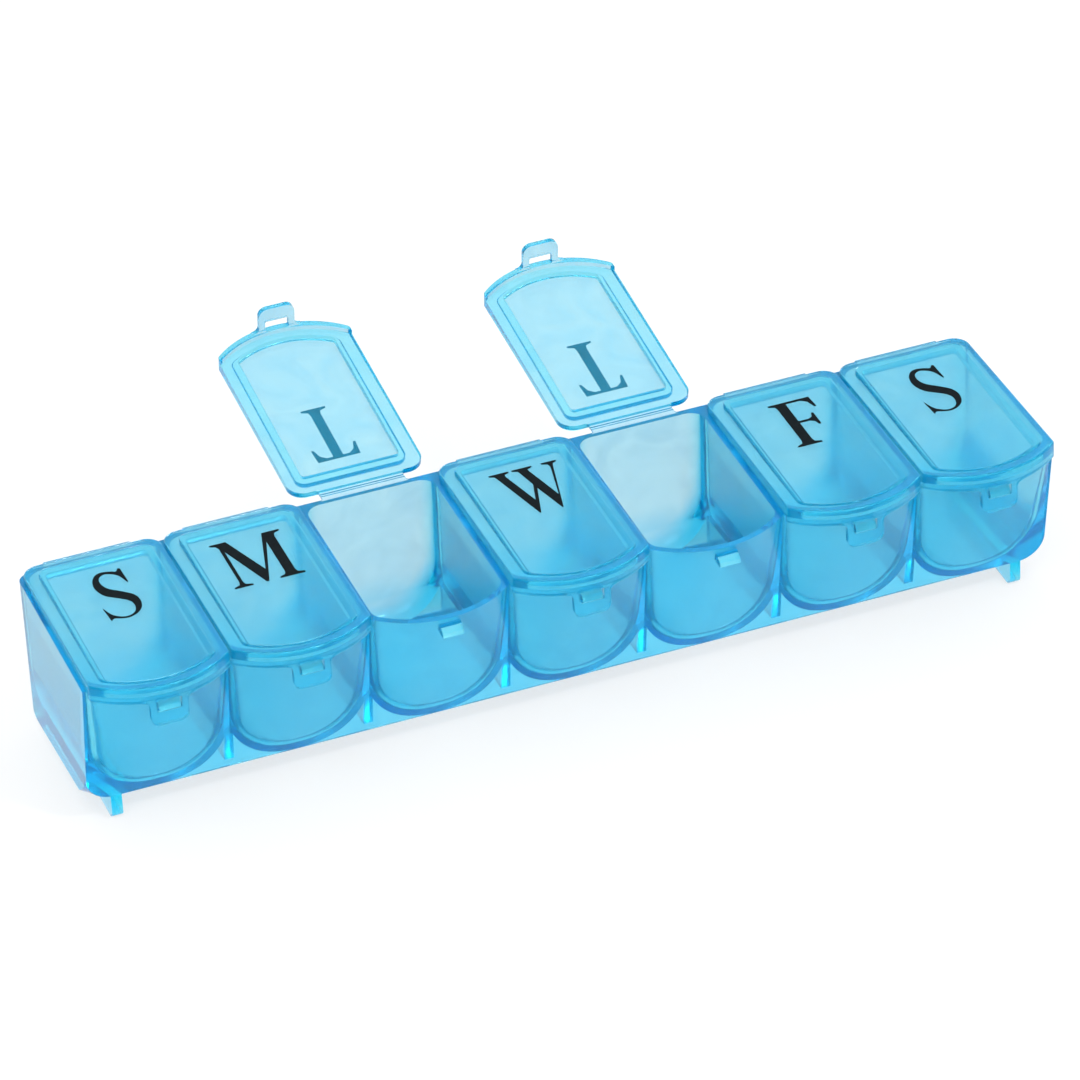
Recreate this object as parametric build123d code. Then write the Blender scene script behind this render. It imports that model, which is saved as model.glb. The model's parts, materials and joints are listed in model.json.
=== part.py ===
from build123d import *
import math
import os

# Weekly pill organizer: a row of seven U-bottomed compartments with a scalloped front, a snap lid
# for each day on a living hinge along the back, and two thin runner feet. All of it is one
# moulding in the real object. Two lids stand open, folded over backwards, and five are shut.
#
# The frame: +X runs along the row, -Y is the latch side, +Z is up. The origin is on the table,
# midway along the row and midway between the front of the shut lids and the tips of the open ones.
# While it is built, the tray's back face is at y = 0, and everything is moved at the end.

# Driving dimensions in millimetres and degrees
days = ["sunday", "monday", "tuesday", "wednesday", "thursday", "friday", "saturday"]
open_days = ["tuesday", "thursday"]
open_angle = 172.5

day_pitch = 28.0
end_margin = 0.5
rim_height = 34.5
rim_depth = 41.6
scallop_rise = 5.8
base_depth = 36.5
base_front_height = 5.6
base_back_height = 3.4
back_base_radius = 5.0
end_back_radius = 2.5
end_base_radius = 5.5
end_round_fade = 0.35

shell_wall = 1.3
partition_wall = 2.0
trough_draft = 0.5
trough_radius = 11.5
trough_fillet = 3.2
rib_setback = 1.6

runner_width = 2.2
runner_inset = 5.8
runner_nose_radius = 1.8
runner_front_setback = 0.2
runner_rear_setback = 7.0

lid_gap = 0.4
lid_lift = 0.1
lid_clearance = 0.35
lid_overhang = 1.9
flange_back = 1.5
flange_front = 2.6
panel_height = 2.8
panel_wall = 1.3
panel_side_inset = 2.4
panel_back_inset = 3.4
panel_front_inset = 2.0
panel_radius = 2.2
lid_back_radius = 3.4
lid_front_radius = 1.1
skirt_drop = 0.8

latch_width = 7.4
latch_drop = 6.5
latch_thickness = 1.1
latch_radius = 1.8
latch_flare = 1.4
slot_width = 4.9
slot_height = 2.5
slot_gap = 0.1
catch_width = 4.2
catch_clearance = 0.25
catch_reach = 1.3
catch_root = 1.5

hinge_offset = 1.7
strap_width = 17.2
strap_flare = 0.6
leaf_thickness = 0.5
leaf_setback = 0.35
leaf_drop = 0.05
film_thickness = 0.3
film_bend = 0.2
edge_round = 0.45
edge_gap = 0.05
slot_round = 0.4

# Sizes that follow from the driving dimensions
row_length = len(days) * day_pitch
half_row = row_length / 2 + end_margin
half_pitch = day_pitch / 2
apex_depth = rim_depth + scallop_rise
scallop_radius = (half_pitch**2 + scallop_rise**2) / (2 * scallop_rise)
scallop_centre = scallop_radius - apex_depth
base_slope = (base_front_height - base_back_height) / base_depth
lid_half_width = half_pitch - lid_gap / 2
far = 2 * apex_depth
bay_places = [(i - (len(days) - 1) / 2) * day_pitch for i in range(len(days))]
slot_top = -skirt_drop - slot_gap


def base_height(y):
    """Height of the tray's underside at a depth y."""
    return base_back_height - base_slope * y


def yz_prism(points, half_length):
    """A prism along X, centred on x = 0, from points in the YZ plane."""
    face = make_face(Plane.YZ * Polyline(*points, close=True))
    return extrude(face, half_length, both=True)


# Tray


def scalloped_bay(inset, height):
    """The outline of one bay at the rim, drawn in by a wall, with its front as an arc."""
    radius = scallop_radius - inset
    corner = scallop_centre - math.sqrt(radius**2 - half_pitch**2)
    right_back = (half_pitch, -inset, height)
    right_front = (half_pitch, corner, height)
    left_front = (-half_pitch, corner, height)
    left_back = (-half_pitch, -inset, height)
    apex = (0, scallop_centre - radius, height)
    front = ThreePointArc(left_front, apex, right_front)
    rest = Polyline(right_front, right_back, left_back, left_front)
    return make_face(front + rest)


def straight_bay(inset, height):
    """The outline of one bay at the foot of the front wall, where the front is straight."""
    corners = [
        (-half_pitch, -base_depth + inset, height),
        (half_pitch, -base_depth + inset, height),
        (half_pitch, -inset, height),
        (-half_pitch, -inset, height),
    ]
    return make_face(Polyline(*corners, close=True))


def bay_form(inset):
    """One bay from the rim to the foot of the front wall, and straight down below it."""
    rim = scalloped_bay(inset, rim_height)
    foot = straight_bay(inset, base_front_height)
    form = loft([foot, rim], ruled=True)
    return form + extrude(foot, -base_front_height)


def tray_outside():
    """All bays side by side with the end walls, trimmed to the sloping base and the rounded ends."""
    end_wall = [(0, 0), (0, rim_height), (-rim_depth, rim_height)]
    end_wall += [(-base_depth, base_front_height), (-base_depth, 0)]
    side = make_face(Plane.YZ * Polyline((0, rim_height), *base_points(), close=True))
    side = fillet(side.vertices().sort_by(Axis.Z)[0], back_base_radius)
    row = yz_prism(end_wall, half_row)
    row += [Pos(x, 0, 0) * bay_form(0) for x in bay_places]
    row &= extrude(side, half_row, both=True)
    row &= Pos(0, 0, base_back_height / 2) * back_corners()
    return row & end_round(1) & end_round(-1)


def base_points():
    """The side view below the rim: deep in front, with the underside falling to the back."""
    return [(-far, rim_height), (-far, base_height(-far)), (0, base_height(0))]


def back_corners():
    """The plan of the tray with the two upright back edges rounded, as a prism up to the rim."""
    plan = Pos(0, -far / 2) * Rectangle(2 * half_row, far)
    plan = fillet(plan.vertices().sort_by(Axis.Y)[-2:], end_back_radius)
    return extrude(plan, rim_height)


def end_round(side):
    """Everything inside one rounded bottom corner: full at the front wall, and fading to the back."""
    reach = 2 * far
    edge, low = side * half_row, base_front_height
    outline = [(edge, low), (edge, reach), (-side * reach, reach), (-side * reach, low)]
    outline = make_face(Plane.XZ.offset(base_depth) * Polyline(*outline, close=True))
    outer = outline.vertices().sort_by(Axis.Z)[:2].sort_by(Axis.X)[-1 if side > 0 else 0]
    outline = fillet(outer, end_base_radius)
    fade = Vector(side * end_round_fade, 1, -end_round_fade)
    front = extrude(outline, base_depth, dir=(0, -1, 0))
    return front + extrude(outline, base_depth * fade.length, dir=fade.normalized())


def trough_prism(grow):
    """A long U-shaped prism that follows the sloping base: the inside of a trough, or its outside."""
    half_top = half_pitch - partition_wall / 2 + grow
    half_floor = half_top - trough_draft
    front = -far
    floor = base_height(front) + shell_wall - grow
    points = [(-half_top, far), (-half_top, rim_height), (-half_floor, floor)]
    points += [(half_floor, floor), (half_top, rim_height), (half_top, far)]
    face = make_face(Plane.XZ.offset(-front) * Polyline(*points, close=True))
    face = fillet(face.vertices().sort_by(Axis.Z)[:2], trough_radius + grow)
    run = Vector(0, 1, -base_slope)
    return extrude(face, 2 * far * run.length, dir=run.normalized())


def trough():
    """The space inside one compartment, with rounded front and back rings."""
    space = bay_form(shell_wall) & trough_prism(0)
    front = space.edges().filter_by(lambda e: e.center().Y < -base_depth / 2)
    back = space.edges().filter_by(lambda e: abs(e.center().Y + shell_wall) < 0.01)
    rings = [e for e in front + back if e.bounding_box().min.Z < rim_height - trough_fillet]
    rings = [e for e in rings if e.bounding_box().size.Y < rim_depth / 2]
    return fillet(rings, trough_fillet)


def hollow():
    """The space under the tray between two troughs, on either side of the partition's rib."""
    pair = [Pos(x, 0, 0) * bay_form(shell_wall) for x in (-half_pitch, half_pitch)]
    reach = Box(day_pitch, far, rim_height, align=(Align.CENTER, Align.MAX, Align.MIN))
    space = (Part() + pair) & Pos(0, -back_base_radius, 0) * reach
    rib = [(far, base_height(far)), (-far, base_height(-far)), (-far, far), (far, far)]
    rib = Pos(0, 0, rib_setback) * yz_prism(rib, partition_wall / 2)
    space -= [Pos(x, 0, 0) * trough_prism(shell_wall) for x in (-half_pitch, half_pitch)]
    return space - rib


def runner():
    """A thin foot along the depth of the tray, from the table up to the trough above it."""
    front = -base_depth + runner_front_setback
    rear = -runner_rear_setback
    top = base_front_height
    face = make_face(Plane.YZ * Polyline((front, 0), (rear, 0), (rear, top), (front, top), close=True))
    face = fillet(face.vertices().sort_by(Axis.Z)[:2].sort_by(Axis.Y)[0], runner_nose_radius)
    return extrude(face, runner_width / 2, both=True)


def catch():
    """The nub under the front rim that the slot of a latch tab snaps over."""
    wall = -apex_depth + catch_root
    face = -apex_depth - lid_clearance - catch_reach
    low = rim_height + slot_top - slot_height + catch_clearance
    high = rim_height + slot_top - catch_clearance
    ramp = (low + high) / 2
    profile = [(wall, low), (face, low), (face, ramp), (-apex_depth, high), (wall, high)]
    return yz_prism(profile, catch_width / 2)


def leaf_plan(root):
    """The plan of a leaf, from its end at the origin to its root, where its corners are flared."""
    free = hinge_offset - leaf_setback
    strip = Rectangle(strap_width, free + root, align=(Align.CENTER, Align.MAX))
    wide = Rectangle(strap_width + 4 * strap_flare, root, align=(Align.CENTER, Align.MAX))
    plan = strip + Pos(0, -free) * wide
    inner = plan.vertices().filter_by(lambda v: abs(v.Y + free) < 0.01 and abs(v.X) < strap_width / 2 + 0.01)
    return fillet(inner, strap_flare)


def tray_leaf():
    """The stiff half of the hinge strap that stands out behind a compartment, just under the rim."""
    low = rim_height - leaf_drop - leaf_thickness
    return Pos(0, hinge_offset - leaf_setback, low) * extrude(leaf_plan(shell_wall), leaf_thickness)


def tray():
    body = tray_outside()
    body -= [Pos(x, 0, 0) * trough() for x in bay_places]
    body -= [Pos(x + half_pitch, 0, 0) * hollow() for x in bay_places[:-1]]
    body += [Pos(side * (half_row - runner_inset), 0, 0) * runner() for side in (-1, 1)]
    body += [Pos(x, 0, 0) * (catch() + tray_leaf()) for x in bay_places]
    return body


# Lids, drawn shut, with the hinge axis along X through the origin


def lid_outline(side, back, front, back_radius, front_radius):
    """The plan of a lid, drawn in by different amounts, with its front as the tray's arc."""
    half = lid_half_width - side
    radius = scallop_radius - front
    centre = scallop_centre - hinge_offset - lid_overhang
    corner = centre - math.sqrt(radius**2 - half**2)
    edge = -hinge_offset - back
    front_arc = ThreePointArc((-half, corner), (0, centre - radius), (half, corner))
    face = make_face(front_arc + Polyline((half, corner), (half, edge), (-half, edge), (-half, corner)))
    in_order = face.vertices().sort_by(Axis.Y)
    face = fillet(in_order[-2:], back_radius)
    return fillet(face.vertices().sort_by(Axis.Y)[:2], front_radius)


def flange():
    """The flat rim of the lid, which gets thicker towards the latch."""
    back = -hinge_offset
    front = back - apex_depth - lid_overhang
    plan = lid_outline(0, 0, 0, lid_back_radius, lid_front_radius)
    side = [(back, lid_lift), (back, flange_back), (front, flange_front), (front, lid_lift)]
    rim = extrude(plan, panel_height) & yz_prism(side, half_pitch)
    top = rim.faces().sort_by(Axis.Z)[-1]
    return fillet(top.edges(), edge_round)


def panel_prism(extra, bottom, top):
    """The raised centre of the lid, or the recess under it when it is drawn in by the wall."""
    radius = panel_radius - extra
    plan = lid_outline(
        panel_side_inset + extra,
        panel_back_inset + extra,
        panel_front_inset + extra,
        radius,
        radius,
    )
    return Pos(0, 0, bottom) * extrude(plan, top - bottom)


def skirt():
    """The lip that hangs in front of the tray's scalloped wall."""
    plan = lid_outline(0, 0, 0, lid_back_radius, lid_front_radius)
    grown = Pos(0, -hinge_offset, 0) * scalloped_bay(-lid_clearance, 0)
    lip = plan - grown - Pos(0, -hinge_offset, 0) * Rectangle(day_pitch, 2 * (rim_depth - lid_clearance))
    return Pos(0, 0, -skirt_drop) * extrude(lip, skirt_drop + lid_lift + flange_back / 2)


def latch():
    """The tab that hangs from the skirt, flared at its root, with a slot for the catch."""
    root = Rectangle(latch_width + 2 * latch_flare, skirt_drop, align=(Align.CENTER, Align.MAX))
    tab = Rectangle(latch_width, latch_drop, align=(Align.CENTER, Align.MAX))
    outline = root + tab
    inner = outline.vertices().filter_by(lambda v: abs(v.Y + skirt_drop) < 0.01)
    inner = inner.filter_by(lambda v: abs(v.X) < latch_width / 2 + 0.01)
    outline = fillet(inner, latch_flare - edge_gap)
    outline = fillet(outline.vertices().sort_by(Axis.Y)[:2], latch_radius)
    slot = Pos(0, slot_top) * Rectangle(slot_width, slot_height, align=(Align.CENTER, Align.MAX))
    slot = fillet(slot.vertices(), slot_round)
    inside = hinge_offset + apex_depth + lid_clearance
    return extrude(Plane.XZ.offset(inside) * (outline - slot), latch_thickness)


def lid_leaf():
    """The stiff half of the hinge strap that stands out behind the lid."""
    return Pos(0, -leaf_setback, lid_lift) * extrude(leaf_plan(panel_back_inset / 2), leaf_thickness)


def lid():
    shape = flange() + panel_prism(0, lid_lift, panel_height)
    top = shape.faces().sort_by(Axis.Z)[-1]
    shape = fillet(top.edges(), edge_round)
    shape -= panel_prism(panel_wall, 0, panel_height - panel_wall)
    return shape + skirt() + latch() + lid_leaf()


# Hinge films, drawn about the same axis


def turned(y, z, angle):
    """A point of a shut lid's side view after the lid has opened by an angle."""
    turn = math.radians(angle)
    return (y * math.cos(turn) + z * math.sin(turn), z * math.cos(turn) - y * math.sin(turn))


def shut_film():
    """The film of a shut lid, bent double round the axis."""
    middle = (lid_lift - leaf_drop) / 2
    outer = Circle(film_bend + film_thickness)
    ring = outer - Circle(film_bend)
    half = ring & Rectangle(far, far, align=(Align.MIN, Align.CENTER))
    return extrude(Plane.YZ * (Pos(-leaf_setback, middle) * half), strap_width / 2, both=True)


def open_film(angle):
    """The film of an open lid, nearly flat between the two leaves."""
    middle = leaf_thickness / 2
    tray_side = [(-leaf_setback, -leaf_drop - middle - side * film_thickness / 2) for side in (-1, 1)]
    heights = [lid_lift + middle + side * film_thickness / 2 for side in (1, -1)]
    lid_side = [turned(-leaf_setback, height, angle) for height in heights]
    return yz_prism(tray_side + lid_side, strap_width / 2)


# Assembly


def placed(shape, day, angle):
    """A piece drawn about the hinge axis, opened and moved to its day's bay."""
    hinge_place = Pos(bay_places[days.index(day)], hinge_offset, rim_height)
    return hinge_place * Rot(-angle, 0, 0) * shape


pieces = {"tray": tray()}
for day in days:
    angle = open_angle if day in open_days else 0
    pieces["lid_" + day] = placed(lid(), day, angle)
    film = open_film(open_angle) if day in open_days else shut_film()
    pieces["hinge_" + day] = placed(film, day, 0)

spread = [shape.bounding_box() for shape in pieces.values()]
middle_depth = (min(box.min.Y for box in spread) + max(box.max.Y for box in spread)) / 2

os.makedirs("parts", exist_ok=True)
for name, shape in pieces.items():
    export_step(Pos(0, -middle_depth, 0) * shape, "parts/" + name + ".step")

print("hinge axis at y", round(hinge_offset - middle_depth, 4), "z", rim_height)
print("tray back face at y", round(-middle_depth, 4))
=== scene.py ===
"""A weekly pill organizer in clear blue plastic: five lids shut, two folded open."""

import json
import math

import bmesh
import bpy
from bpy.props import FloatProperty, FloatVectorProperty, StringProperty
from mathutils import Matrix, Vector


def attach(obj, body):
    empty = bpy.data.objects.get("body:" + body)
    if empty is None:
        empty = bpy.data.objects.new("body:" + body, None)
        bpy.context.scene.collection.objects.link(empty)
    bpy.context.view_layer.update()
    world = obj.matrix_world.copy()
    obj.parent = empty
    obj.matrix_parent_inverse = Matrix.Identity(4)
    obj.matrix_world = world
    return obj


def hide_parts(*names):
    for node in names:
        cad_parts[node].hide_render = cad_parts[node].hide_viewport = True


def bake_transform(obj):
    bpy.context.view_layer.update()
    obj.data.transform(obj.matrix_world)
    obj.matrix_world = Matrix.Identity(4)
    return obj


bl_info = {
    "name": "Weekly pill organizer",
    "version": (1, 0, 0),
    "blender": (4, 5, 0),
    "location": "View3D > Sidebar > Organizer",
    "description": "Finishes the packed weekly pill organizer and sets its studio",
    "category": "Object",
}

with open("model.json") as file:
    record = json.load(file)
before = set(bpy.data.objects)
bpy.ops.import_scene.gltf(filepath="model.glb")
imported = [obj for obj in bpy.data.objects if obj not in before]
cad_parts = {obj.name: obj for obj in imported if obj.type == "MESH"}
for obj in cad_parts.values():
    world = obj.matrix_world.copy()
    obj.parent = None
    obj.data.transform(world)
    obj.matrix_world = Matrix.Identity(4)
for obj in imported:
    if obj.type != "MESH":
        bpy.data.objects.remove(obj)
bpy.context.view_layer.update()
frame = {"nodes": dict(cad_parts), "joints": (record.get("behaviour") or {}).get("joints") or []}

MM = 0.001
DAYS = ("sunday", "monday", "tuesday", "wednesday", "thursday", "friday", "saturday")
JOINTS = {joint["name"]: joint for joint in frame["joints"]}

# The plastic: how much light bends in it, the strength of its ripples and their height in
# millimetres, by what share its gloss and its cloudiness change from place to place, and the
# range of the noise that its flow streaks take up and how far they are bent.
PLASTIC_IOR = 1.49
RIPPLE_STRENGTH = 0.06
RIPPLE_HEIGHT = 0.05
GLOSS_SPREAD = 0.3
CLOUD_SPREAD = 0.25
STREAK_RANGE = (0.3, 0.7)
STREAK_BEND = 1.5

# The ink: the width of its uneven spots in millimetres, its roughness and its faint reflection.
INK_SPOT = 0.8
INK_ROUGHNESS = (0.6, 0.8)
INK_POLISH = 0.02

# The hinge films: the parts of a bend.
FILM_STEPS = 12

# Each lamp's name, place and size in metres, and power in watts. The big one lights the lids and
# the front, and the small ones draw light lines along the rounded edges.
LAMPS = (
    ("key_softbox", (-0.5, -0.6, 1.1), 0.7, 3.0),
    ("front_strip", (0.34, -0.7, 0.98), 0.08, 3.0),
    ("back_strip_left", (0.12, 1.5, 0.475), 0.12, 1.5),
    ("back_strip_right", (0.28, 1.5, 0.475), 0.12, 1.5),
)
LAMP_AIM = (0, -0.02, 0.03)

# A ray goes through many clear walls before it reaches the floor.
LIGHT_BOUNCES = 24

# Half the floor's width in metres, the width of the camera's sensor in millimetres, and how near
# and how far it sees in metres.
FLOOR_HALF_SIZE = 4.0
SENSOR_WIDTH = 36.0
CLIP_NEAR = 0.01
CLIP_FAR = 20.0

# The printed initials, as closed outlines on a cap height of 1. A point that ends in "round" is
# passed smoothly, in CURVE_STEPS steps to the next, and any other is a corner.
CURVE_STEPS = 8
INITIALS = {
    "M": [
        (0.00, 1.00), (0.21, 1.00), (0.47, 0.26), (0.665, 1.00), (0.885, 1.00), (0.885, 0.97),
        (0.81, 0.94), (0.795, 0.88), (0.795, 0.12), (0.81, 0.06), (0.89, 0.03), (0.89, 0.00),
        (0.575, 0.00), (0.575, 0.03), (0.65, 0.06), (0.665, 0.12), (0.665, 0.80), (0.43, 0.00),
        (0.40, 0.00), (0.135, 0.80), (0.135, 0.12), (0.15, 0.06), (0.235, 0.03), (0.235, 0.00),
        (0.00, 0.00), (0.00, 0.03), (0.075, 0.06), (0.09, 0.12), (0.09, 0.89), (0.06, 0.95),
        (0.00, 0.97),
    ],
    "W": [
        (0.00, 1.00), (0.255, 1.00), (0.255, 0.97), (0.19, 0.945), (0.19, 0.90), (0.345, 0.285),
        (0.435, 0.61), (0.375, 0.90), (0.36, 0.945), (0.295, 0.97), (0.295, 1.00), (0.555, 1.00),
        (0.555, 0.97), (0.49, 0.945), (0.495, 0.90), (0.645, 0.285), (0.765, 0.88), (0.75, 0.945),
        (0.68, 0.97), (0.68, 1.00), (0.875, 1.00), (0.875, 0.97), (0.82, 0.945), (0.80, 0.88),
        (0.60, 0.00), (0.585, 0.00), (0.455, 0.515), (0.31, 0.00), (0.295, 0.00), (0.075, 0.90),
        (0.06, 0.945), (0.00, 0.97),
    ],
    "F": [
        (0.00, 1.00), (0.545, 1.00), (0.56, 0.77), (0.53, 0.77), (0.49, 0.90), (0.42, 0.955),
        (0.225, 0.955), (0.225, 0.54), (0.36, 0.54), (0.41, 0.57), (0.435, 0.65), (0.465, 0.65),
        (0.465, 0.38), (0.435, 0.38), (0.41, 0.46), (0.36, 0.495), (0.225, 0.495), (0.225, 0.12),
        (0.24, 0.06), (0.32, 0.03), (0.32, 0.00), (0.00, 0.00), (0.00, 0.03), (0.075, 0.06),
        (0.09, 0.12), (0.09, 0.88), (0.075, 0.94), (0.00, 0.97),
    ],
    "T": [
        (0.015, 1.00), (0.565, 1.00), (0.58, 0.76), (0.55, 0.76), (0.51, 0.89), (0.44, 0.95),
        (0.355, 0.95), (0.355, 0.12), (0.37, 0.06), (0.45, 0.03), (0.45, 0.00), (0.13, 0.00),
        (0.13, 0.03), (0.21, 0.06), (0.225, 0.12), (0.225, 0.95), (0.14, 0.95), (0.07, 0.89),
        (0.03, 0.76), (0.00, 0.76),
    ],
    "S": [
        (0.444, 1.013), (0.476, 1.006), (0.480, 0.878),
        (0.486, 0.700), (0.470, 0.690), (0.444, 0.778, "round"),
        (0.417, 0.850, "round"), (0.378, 0.900, "round"), (0.322, 0.939, "round"),
        (0.267, 0.956, "round"), (0.217, 0.939, "round"), (0.178, 0.894, "round"),
        (0.163, 0.828, "round"), (0.167, 0.767, "round"), (0.191, 0.694, "round"),
        (0.233, 0.633, "round"), (0.311, 0.567, "round"), (0.378, 0.506, "round"),
        (0.444, 0.439, "round"), (0.478, 0.383, "round"), (0.498, 0.300, "round"),
        (0.494, 0.211, "round"), (0.472, 0.133, "round"), (0.422, 0.056, "round"),
        (0.344, 0.000, "round"), (0.256, -0.022, "round"), (0.178, -0.006, "round"),
        (0.083, 0.022, "round"), (0.056, -0.011), (0.048, 0.000),
        (0.039, 0.122), (0.028, 0.256), (0.033, 0.280),
        (0.061, 0.189, "round"), (0.100, 0.106, "round"), (0.150, 0.056, "round"),
        (0.200, 0.024, "round"), (0.256, 0.013, "round"), (0.317, 0.028, "round"),
        (0.367, 0.072, "round"), (0.394, 0.133, "round"), (0.403, 0.211, "round"),
        (0.394, 0.267, "round"), (0.367, 0.317, "round"), (0.300, 0.383, "round"),
        (0.222, 0.444, "round"), (0.139, 0.517, "round"), (0.094, 0.600, "round"),
        (0.069, 0.689, "round"), (0.067, 0.767, "round"), (0.083, 0.856, "round"),
        (0.117, 0.933, "round"), (0.167, 0.989, "round"), (0.233, 1.011, "round"),
        (0.300, 1.002, "round"), (0.367, 0.978, "round"), (0.411, 0.961, "round"),
        (0.433, 0.989),
    ],
}

# Where each initial begins, in millimetres from the middle of its lid.
INITIAL_LEFT = {"M": -6.9, "W": -6.1, "F": -4.0, "T": -5.1, "S": -4.2}


def linear(hex_colour):
    """An sRGB hex colour as the linear RGBA that shaders take."""
    parts = [int(hex_colour[i : i + 2], 16) / 255 for i in (1, 3, 5)]
    return (*(p / 12.92 if p <= 0.04045 else ((p + 0.055) / 1.055) ** 2.4 for p in parts), 1.0)


def add(tree, kind, settings=None, links=None):
    """Adds a shader node, sets its properties and inputs, and links its inputs. An input goes by
    its name, or by its number where names repeat."""
    node = tree.nodes.new(kind)
    for name, value in (settings or {}).items():
        if isinstance(name, int) or name in node.inputs:
            node.inputs[name].default_value = value
        else:
            setattr(node, name, value)
    for name, source in (links or {}).items():
        tree.links.new(source, node.inputs[name])
    return node


def new_material(name):
    """An empty node material and its output node."""
    material = bpy.data.materials.new(name)
    material.use_nodes = True
    material.node_tree.nodes.clear()
    return material, add(material.node_tree, "ShaderNodeOutputMaterial")


def clear_polypropylene(name, settings):
    """Injection-moulded polypropylene with blue dye: a glossy, faintly rippled skin over a wall
    with cloudy flow streaks, so each wall adds some blue of its own, and the dye makes edges seen
    lengthwise a deep blue."""
    material, output = new_material(name)
    tree = material.node_tree
    place = add(tree, "ShaderNodeTexCoord")
    flow = add(
        tree,
        "ShaderNodeTexNoise",
        {"Scale": 1 / (settings.ripple * MM), "Detail": 2.0},
        {"Vector": place.outputs["Object"]},
    )
    bump = add(
        tree,
        "ShaderNodeBump",
        {"Strength": RIPPLE_STRENGTH, "Distance": RIPPLE_HEIGHT * MM},
        {"Height": flow.outputs["Fac"]},
    )
    gloss = add(
        tree,
        "ShaderNodeMapRange",
        {
            "To Min": settings.roughness * (1 - GLOSS_SPREAD),
            "To Max": settings.roughness * (1 + GLOSS_SPREAD),
        },
        {"Value": flow.outputs["Fac"]},
    )
    shared = {"Roughness": gloss.outputs["Result"], "Normal": bump.outputs["Normal"]}
    polish = {
        "IOR": PLASTIC_IOR,
        "Specular IOR Level": settings.polish,
        "Specular Tint": linear(settings.sheen),
    }
    clear = add(
        tree,
        "ShaderNodeBsdfPrincipled",
        {"Base Color": linear(settings.skin), "Transmission Weight": 1.0, **polish},
        shared,
    )
    cloudy = add(
        tree,
        "ShaderNodeBsdfPrincipled",
        {"Base Color": linear(settings.body), **polish},
        shared,
    )
    streaks = add(
        tree,
        "ShaderNodeTexNoise",
        {"Scale": 1 / (settings.streak * MM), "Detail": 3.0, "Distortion": STREAK_BEND},
        {"Vector": place.outputs["Object"]},
    )
    haze = add(
        tree,
        "ShaderNodeMapRange",
        {
            "From Min": STREAK_RANGE[0],
            "From Max": STREAK_RANGE[1],
            "To Min": settings.cloudiness * (1 - CLOUD_SPREAD),
            "To Max": settings.cloudiness * (1 + CLOUD_SPREAD),
        },
        {"Value": streaks.outputs["Fac"]},
    )
    wall = add(
        tree,
        "ShaderNodeMixShader",
        None,
        {"Fac": haze.outputs["Result"], 1: clear.outputs["BSDF"], 2: cloudy.outputs["BSDF"]},
    )
    dye = add(
        tree,
        "ShaderNodeVolumeAbsorption",
        {"Color": linear(settings.dye), "Density": settings.dye_strength / MM},
    )
    tree.links.new(wall.outputs["Shader"], output.inputs["Surface"])
    tree.links.new(dye.outputs["Volume"], output.inputs["Volume"])
    return material


def printed_ink(name, colour, thin):
    """Pad-printed ink: nearly black and matt, and thinner in spots, so it isn't quite even."""
    material, output = new_material(name)
    tree = material.node_tree
    place = add(tree, "ShaderNodeTexCoord")
    spots = add(
        tree,
        "ShaderNodeTexNoise",
        {"Scale": 1 / (INK_SPOT * MM)},
        {"Vector": place.outputs["Object"]},
    )
    cover = add(
        tree,
        "ShaderNodeMixRGB",
        {"Color1": linear(colour), "Color2": linear(thin)},
        {"Fac": spots.outputs["Fac"]},
    )
    gloss = add(
        tree,
        "ShaderNodeMapRange",
        {"To Min": INK_ROUGHNESS[0], "To Max": INK_ROUGHNESS[1]},
        {"Value": spots.outputs["Fac"]},
    )
    skin = add(
        tree,
        "ShaderNodeBsdfPrincipled",
        {"Specular IOR Level": INK_POLISH},
        {"Base Color": cover.outputs["Color"], "Roughness": gloss.outputs["Result"]},
    )
    tree.links.new(skin.outputs["BSDF"], output.inputs["Surface"])
    return material


def lid_place(day):
    """Takes a point of a shut lid, measured from its hinge axis, to where the lid lies at rest."""
    joint = JOINTS[day + "_hinge"]
    opened = max(0.0, -joint["range_deg"][0])
    turn = Matrix.Rotation(math.radians(opened), 4, Vector(joint["axis"]))
    return Matrix.Translation(Vector(joint["pos_m"])) @ turn


def paint(piece, material):
    """Gives a piece one material."""
    piece.data.materials.clear()
    piece.data.materials.append(material)


class PlasticSettings(bpy.types.PropertyGroup):
    skin: StringProperty(
        name="Skin",
        description="Tint of the clear share of a wall",
        default="#F6FCFE",
    )
    body: StringProperty(
        name="Body",
        description="Colour of the cloudy share of a wall",
        default="#00CAFF",
    )
    cloudiness: FloatProperty(
        name="Cloudiness",
        description="Cloudy share of each face",
        default=0.18,
        subtype="FACTOR",
        min=0,
        max=1,
    )
    dye: StringProperty(
        name="Dye",
        description="Colour that a thick wall lets through",
        default="#00F8FF",
    )
    dye_strength: FloatProperty(
        name="Dye strength",
        description="Absorption for each millimetre",
        default=0.27,
    )
    roughness: FloatProperty(
        name="Roughness",
        description="How frosted the skin is",
        default=0.13,
        subtype="FACTOR",
        min=0,
        max=1,
    )
    polish: FloatProperty(
        name="Polish",
        description="Strength of the reflections",
        default=0.4,
        subtype="FACTOR",
        min=0,
        max=1,
    )
    sheen: StringProperty(name="Sheen", description="Tint of the reflections", default="#99E8FF")
    ripple: FloatProperty(
        name="Ripple",
        description="Width of the moulding ripples in millimetres",
        default=6.0,
    )
    streak: FloatProperty(
        name="Streak",
        description="Width of the flow streaks in millimetres",
        default=11.0,
    )


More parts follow.
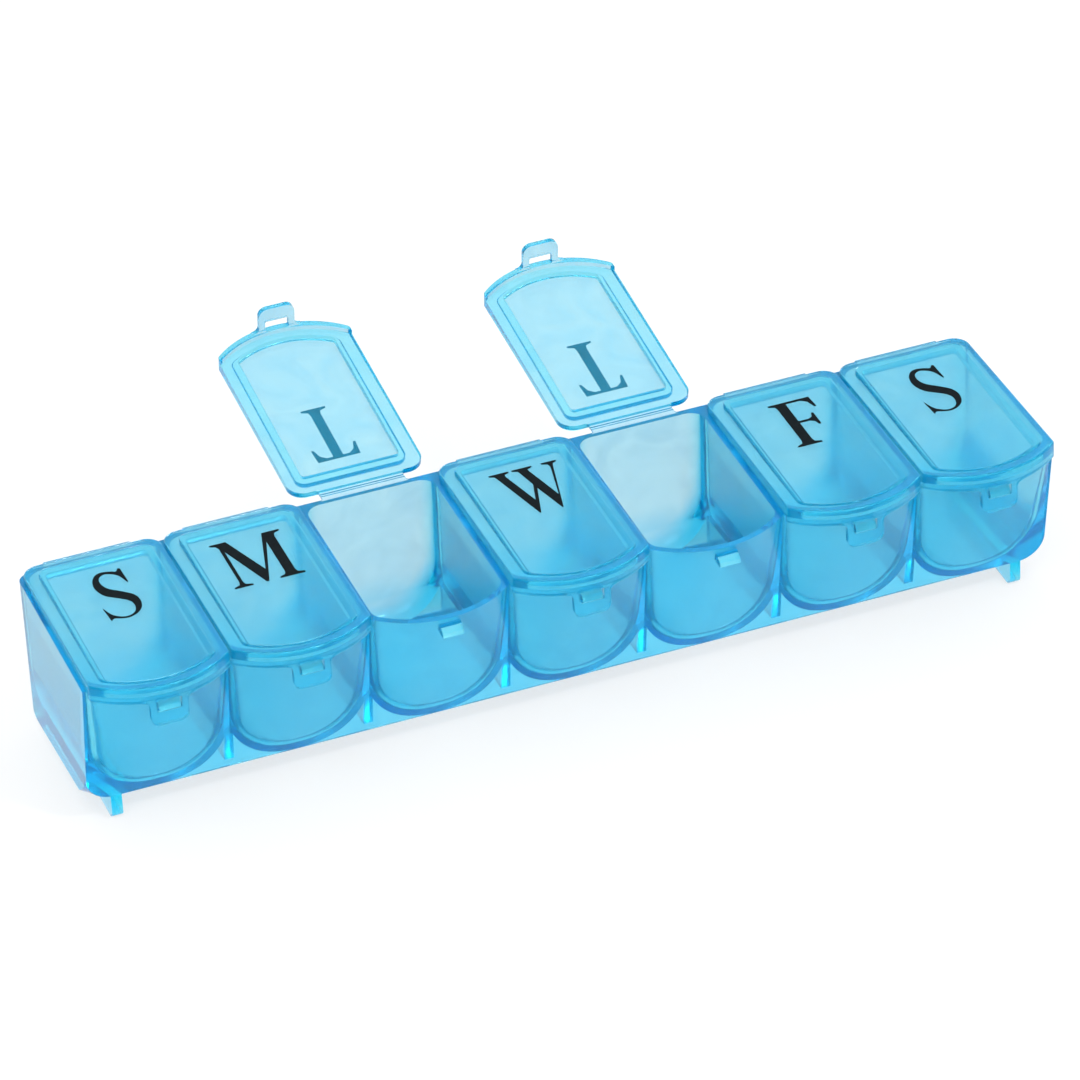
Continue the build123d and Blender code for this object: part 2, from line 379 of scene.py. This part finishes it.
class HingeSettings(bpy.types.PropertyGroup):
    width: FloatProperty(
        name="Width",
        description="Length of a film along the row in millimetres",
        default=17.2,
    )
    thickness: FloatProperty(
        name="Thickness",
        description="Thickness of a film in millimetres",
        default=0.3,
    )
    bend: FloatProperty(
        name="Bend",
        description="Inside radius of a bent film in millimetres",
        default=0.2,
    )
    gap: FloatProperty(
        name="Gap",
        description="From the axis to the end of a leaf in millimetres",
        default=0.33,
    )
    middle: FloatProperty(
        name="Middle",
        description="Height of a bent film's centre over the axis in millimetres",
        default=0.025,
    )
    depth: FloatProperty(
        name="Depth",
        description="Depth of a flat film's middle under the axis in millimetres",
        default=0.3,
    )


class PrintSettings(bpy.types.PropertyGroup):
    ink: StringProperty(
        name="Ink colour",
        description="Colour of the printed initials",
        default="#0B1013",
    )
    thin_ink: StringProperty(
        name="Thin ink",
        description="Colour where the print is thin",
        default="#1C2529",
    )
    cap_height: FloatProperty(
        name="Cap height",
        description="Height of an initial in millimetres",
        default=15.8,
    )
    baseline: FloatProperty(
        name="Baseline",
        description="Distance from the hinge axis in millimetres",
        default=27.3,
    )
    thickness: FloatProperty(
        name="Thickness",
        description="Thickness of the print in millimetres",
        default=0.03,
    )
    panel_height: FloatProperty(
        name="Panel height",
        description="From the hinge axis up to a shut lid's panel in millimetres",
        default=2.8,
    )


class StudioSettings(bpy.types.PropertyGroup):
    camera_place: FloatVectorProperty(
        name="Camera place",
        description="Where the camera stands",
        subtype="TRANSLATION",
        unit="LENGTH",
        default=(-0.34196, -1.00794, 0.7384),
    )
    azimuth: FloatProperty(
        name="Azimuth",
        description="Turn of the view about the upright",
        subtype="ANGLE",
        default=math.radians(-19.13),
    )
    elevation: FloatProperty(
        name="Elevation",
        description="Angle at which the camera looks down",
        subtype="ANGLE",
        default=math.radians(34.27),
    )
    roll: FloatProperty(
        name="Roll",
        description="Tilt of the camera about its own view",
        subtype="ANGLE",
        default=math.radians(-3.15),
    )
    lens: FloatProperty(
        name="Lens",
        description="Focal length in millimetres",
        unit="CAMERA",
        default=218.95,
    )
    background: StringProperty(
        name="Background",
        description="Colour of floor and backdrop",
        default="#FFFFFF",
    )
    floor_glow: FloatProperty(
        name="Floor glow",
        description="Share of the floor that no shadow dims",
        default=0.7,
        subtype="FACTOR",
        min=0,
        max=1,
    )
    # A painted blue shadow on the floor under the tray: its colour, length, depth, place and soft
    # edge.
    pool: StringProperty(
        name="Pool",
        description="Colour of the light that came through the tray",
        default="#94E4FF",
    )
    painted_shadow_length: FloatProperty(
        name="Pool length",
        description="Length of that light in millimetres",
        default=197.0,
    )
    painted_shadow_depth: FloatProperty(
        name="Pool depth",
        description="Depth of that light in millimetres",
        default=64.0,
    )
    painted_shadow_back: FloatProperty(
        name="Pool back",
        description="From its centre to the hinges in millimetres",
        default=22.0,
    )
    painted_shadow_fade: FloatProperty(
        name="Pool fade",
        description="Width of its soft edge in millimetres",
        default=16.0,
    )


class ORGANIZER_OT_plastic(bpy.types.Operator):
    """Finish the tray and the lids in clear blue plastic"""

    bl_idname = "organizer.plastic"
    bl_label = "Blue plastic"

    def execute(self, context):
        settings = context.scene.organizer_plastic
        plastic = clear_polypropylene("clear_blue_polypropylene", settings)
        for piece in frame["nodes"].values():
            paint(piece, plastic)
        return {"FINISHED"}


class ORGANIZER_OT_hinges(bpy.types.Operator):
    """Bend a thin living hinge between the tray and each lid"""

    bl_idname = "organizer.hinges"
    bl_label = "Living hinges"

    def execute(self, context):
        settings = context.scene.organizer_hinge
        looks = context.scene.organizer_plastic
        plastic = clear_polypropylene("clear_blue_polypropylene_film", looks)
        for day in DAYS:
            self.film(context, day, settings, plastic)
        return {"FINISHED"}

    def film(self, context, day, settings, plastic):
        """The film between a lid's leaf and the tray's, bent double on a shut lid and flat on an
        open one.
        """
        shut = JOINTS[day + "_hinge"]["range_deg"][0] >= 0
        form = self.strip(settings, shut)
        bmesh.ops.scale(form, vec=(MM, MM, MM), verts=form.verts)
        place = Vector(JOINTS[day + "_hinge"]["pos_m"])
        bmesh.ops.translate(form, vec=place, verts=form.verts)
        mesh = bpy.data.meshes.new("film_" + day)
        form.to_mesh(mesh)
        form.free()
        piece = bpy.data.objects.new("film_" + day, mesh)
        context.scene.collection.objects.link(piece)
        paint(piece, plastic)
        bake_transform(piece)
        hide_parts("hinge_" + day)

    def strip(self, settings, shut):
        """A strip in millimetres about its axis: bent double on a shut lid, flat on an open one."""
        form = bmesh.new()
        middle = Vector((-settings.width / 2, -settings.gap, settings.middle))
        if shut:
            corner = form.verts.new(middle - Vector((0, 0, settings.bend + settings.thickness)))
            turn, step = math.pi, 0
        else:
            middle.z = -settings.depth - settings.thickness / 2
            corner = form.verts.new(middle)
            turn, step = 0, 2 * settings.gap / FILM_STEPS
        bmesh.ops.spin(
            form,
            geom=[corner],
            cent=middle,
            axis=(1, 0, 0),
            dvec=(0, step, 0),
            angle=turn,
            steps=FILM_STEPS,
        )
        row = bmesh.ops.extrude_edge_only(form, edges=form.edges)["geom"]
        row = [item for item in row if isinstance(item, bmesh.types.BMVert)]
        bmesh.ops.translate(form, vec=(settings.width, 0, 0), verts=row)
        bmesh.ops.recalc_face_normals(form, faces=form.faces)
        bmesh.ops.solidify(form, geom=form.faces, thickness=settings.thickness)
        bmesh.ops.recalc_face_normals(form, faces=form.faces)
        return form


class ORGANIZER_OT_initials(bpy.types.Operator):
    """Print each day's initial on its lid"""

    bl_idname = "organizer.initials"
    bl_label = "Printed initials"

    def execute(self, context):
        settings = context.scene.organizer_print
        ink = printed_ink("pad_printed_ink", settings.ink, settings.thin_ink)
        for day in DAYS:
            self.print_initial(context, day, settings, ink)
        return {"FINISHED"}

    def print_initial(self, context, day, settings, ink):
        """A day's initial as a thin solid that lies on the panel of its lid."""
        letter = day[0].upper()
        drawing = self.drawing(context, "initial_" + day, INITIALS[letter], settings)
        mesh = bpy.data.meshes.new_from_object(
            drawing.evaluated_get(context.evaluated_depsgraph_get())
        )
        bpy.data.objects.remove(drawing)
        piece = bpy.data.objects.new("initial_" + day, mesh)
        context.scene.collection.objects.link(piece)
        height = settings.panel_height + settings.thickness / 2
        corner = Vector((INITIAL_LEFT[letter], -settings.baseline, height)) * MM
        size = settings.cap_height * MM
        on_lid = Matrix.Translation(corner) @ Matrix.Diagonal((size, size, MM, 1))
        mesh.transform(lid_place(day) @ on_lid)
        mesh.update()
        paint(piece, ink)
        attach(piece, day + "_lid")

    def drawing(self, context, name, points, settings):
        """An outline as a filled flat curve with the thickness of the print."""
        curve = bpy.data.curves.new(name, "CURVE")
        curve.dimensions = "2D"
        curve.fill_mode = "BOTH"
        curve.extrude = settings.thickness / 2
        curve.resolution_u = CURVE_STEPS
        spline = curve.splines.new("BEZIER")
        spline.bezier_points.add(len(points) - 1)
        for place, point in zip(spline.bezier_points, points):
            place.co = (point[0], point[1], 0)
            kind = "AUTO" if len(point) == 3 else "VECTOR"
            place.handle_left_type = kind
            place.handle_right_type = kind
        spline.use_cyclic_u = True
        drawing = bpy.data.objects.new(name, curve)
        context.scene.collection.objects.link(drawing)
        context.view_layer.update()
        return drawing


class ORGANIZER_OT_studio(bpy.types.Operator):
    """Set the white floor, the soft lamps and the camera"""

    bl_idname = "organizer.studio"
    bl_label = "Studio"

    def execute(self, context):
        settings = context.scene.organizer_studio
        self.floor(context, settings)
        self.world(context, settings)
        for name, place, size, power in LAMPS:
            self.lamp(context, name, place, size, power)
        self.camera(context, settings)
        scene = context.scene
        scene.view_settings.view_transform = "Standard"
        scene.cycles.max_bounces = LIGHT_BOUNCES
        scene.cycles.diffuse_bounces = LIGHT_BOUNCES
        scene.cycles.glossy_bounces = LIGHT_BOUNCES
        scene.cycles.transmission_bounces = LIGHT_BOUNCES
        scene.cycles.transparent_max_bounces = LIGHT_BOUNCES
        return {"FINISHED"}

    def floor(self, context, settings):
        """White paper under the object. It glows for rays through the plastic and for part of what
        the camera sees, so it stays white with a faint shadow, except for a painted blue shadow
        under the tray that shows only through the plastic."""
        form = bmesh.new()
        bmesh.ops.create_grid(form, x_segments=1, y_segments=1, size=FLOOR_HALF_SIZE)
        mesh = bpy.data.meshes.new("floor")
        form.to_mesh(mesh)
        form.free()
        floor = bpy.data.objects.new("floor", mesh)
        context.scene.collection.objects.link(floor)
        material, output = new_material("white_paper_sweep")
        tree = material.node_tree
        path = add(tree, "ShaderNodeLightPath")
        share = add(
            tree,
            "ShaderNodeMath",
            {"operation": "MULTIPLY", 1: settings.floor_glow},
            {0: path.outputs["Is Camera Ray"]},
        )
        for ray in ("Is Glossy Ray", "Is Transmission Ray"):
            both = {0: share.outputs[0], 1: path.outputs[ray]}
            share = add(tree, "ShaderNodeMath", {"operation": "ADD", "use_clamp": True}, both)
        paper = add(tree, "ShaderNodeBsdfDiffuse", {"Color": linear(settings.background)})
        # The painted blue shadow under the tray, seen only through the plastic.
        pool = self.pool(tree, settings, path.outputs["Is Transmission Ray"])
        glow = add(tree, "ShaderNodeEmission", {"Strength": 1.0}, {"Color": pool.outputs["Color"]})
        mix = add(
            tree,
            "ShaderNodeMixShader",
            None,
            {"Fac": share.outputs[0], 1: paper.outputs["BSDF"], 2: glow.outputs["Emission"]},
        )
        tree.links.new(mix.outputs["Shader"], output.inputs["Surface"])
        paint(floor, material)

    def pool(self, tree, settings, seen_through):
        """A painted blue shadow: the paper under the tray is painted blue where it shows through
        the plastic, standing in for the light that came to it through the plastic as well."""
        place = add(tree, "ShaderNodeTexCoord")
        centre = add(
            tree,
            "ShaderNodeVectorMath",
            {"operation": "ADD", 1: (0, settings.painted_shadow_back * MM, 0)},
            {0: place.outputs["Object"]},
        )
        mirrored = add(
            tree,
            "ShaderNodeVectorMath",
            {"operation": "ABSOLUTE"},
            {0: centre.outputs["Vector"]},
        )
        parts = add(tree, "ShaderNodeSeparateXYZ", None, {"Vector": mirrored.outputs["Vector"]})
        cover = seen_through
        for axis, size in (("X", settings.painted_shadow_length), ("Y", settings.painted_shadow_depth)):
            edge = {
                "From Min": (size + settings.painted_shadow_fade) / 2 * MM,
                "From Max": (size - settings.painted_shadow_fade) / 2 * MM,
            }
            inside = add(tree, "ShaderNodeMapRange", edge, {"Value": parts.outputs[axis]})
            sides = {0: cover, 1: inside.outputs["Result"]}
            cover = add(tree, "ShaderNodeMath", {"operation": "MULTIPLY"}, sides).outputs[0]
        colours = {"Color1": linear(settings.background), "Color2": linear(settings.pool)}
        return add(tree, "ShaderNodeMixRGB", colours, {"Fac": cover})

    def world(self, context, settings):
        """Plain white light from all around."""
        world = bpy.data.worlds.new("white_studio")
        world.use_nodes = True
        tree = world.node_tree
        tree.nodes.clear()
        output = add(tree, "ShaderNodeOutputWorld")
        white = {"Color": linear(settings.background), "Strength": 1.0}
        sky = add(tree, "ShaderNodeBackground", white)
        tree.links.new(sky.outputs["Background"], output.inputs["Surface"])
        context.scene.world = world

    def lamp(self, context, name, place, size, power):
        """A square soft lamp that faces the middle of the organizer."""
        light = bpy.data.lights.new(name, "AREA")
        light.shape = "SQUARE"
        light.size = size
        light.energy = power
        lamp = bpy.data.objects.new(name, light)
        context.scene.collection.objects.link(lamp)
        lamp.location = place
        aim = Vector(LAMP_AIM) - Vector(place)
        lamp.rotation_mode = "QUATERNION"
        lamp.rotation_quaternion = aim.to_track_quat("-Z", "Y")

    def camera(self, context, settings):
        """The photograph's camera: a long lens that looks down on the front from the left."""
        lens = bpy.data.cameras.new("camera")
        lens.sensor_width = SENSOR_WIDTH
        lens.lens = settings.lens
        lens.clip_start = CLIP_NEAR
        lens.clip_end = CLIP_FAR
        camera = bpy.data.objects.new("camera", lens)
        context.scene.collection.objects.link(camera)
        turn, rise = settings.azimuth, settings.elevation
        level = math.cos(rise)
        back = Vector((math.sin(turn) * level, -math.cos(turn) * level, math.sin(rise)))
        right = Vector((math.cos(turn), math.sin(turn), 0))
        upright = Matrix((right, back.cross(right), back)).transposed().to_4x4()
        tilt = Matrix.Rotation(settings.roll, 4, back)
        camera.matrix_world = Matrix.Translation(Vector(settings.camera_place)) @ tilt @ upright
        context.scene.camera = camera


class ORGANIZER_PT_panel(bpy.types.Panel):
    """Lists the steps that finish the organizer"""

    bl_label = "Organizer"
    bl_idname = "ORGANIZER_PT_panel"
    bl_space_type = "VIEW_3D"
    bl_region_type = "UI"
    bl_category = "Organizer"

    def draw(self, context):
        for operator in OPERATORS:
            self.layout.operator(operator.bl_idname)


OPERATORS = (ORGANIZER_OT_plastic, ORGANIZER_OT_hinges, ORGANIZER_OT_initials, ORGANIZER_OT_studio)
SETTINGS = {
    "organizer_plastic": PlasticSettings,
    "organizer_hinge": HingeSettings,
    "organizer_print": PrintSettings,
    "organizer_studio": StudioSettings,
}


def register():
    for name, group in SETTINGS.items():
        bpy.utils.register_class(group)
        setattr(bpy.types.Scene, name, bpy.props.PointerProperty(type=group))
    for item in (*OPERATORS, ORGANIZER_PT_panel):
        bpy.utils.register_class(item)


def unregister():
    for item in reversed((*OPERATORS, ORGANIZER_PT_panel)):
        bpy.utils.unregister_class(item)
    for name, group in SETTINGS.items():
        delattr(bpy.types.Scene, name)
        bpy.utils.unregister_class(group)


def main():
    register()
    bpy.ops.organizer.plastic()
    bpy.ops.organizer.hinges()
    bpy.ops.organizer.initials()
    bpy.ops.organizer.studio()


if __name__ == "__main__":
    main()
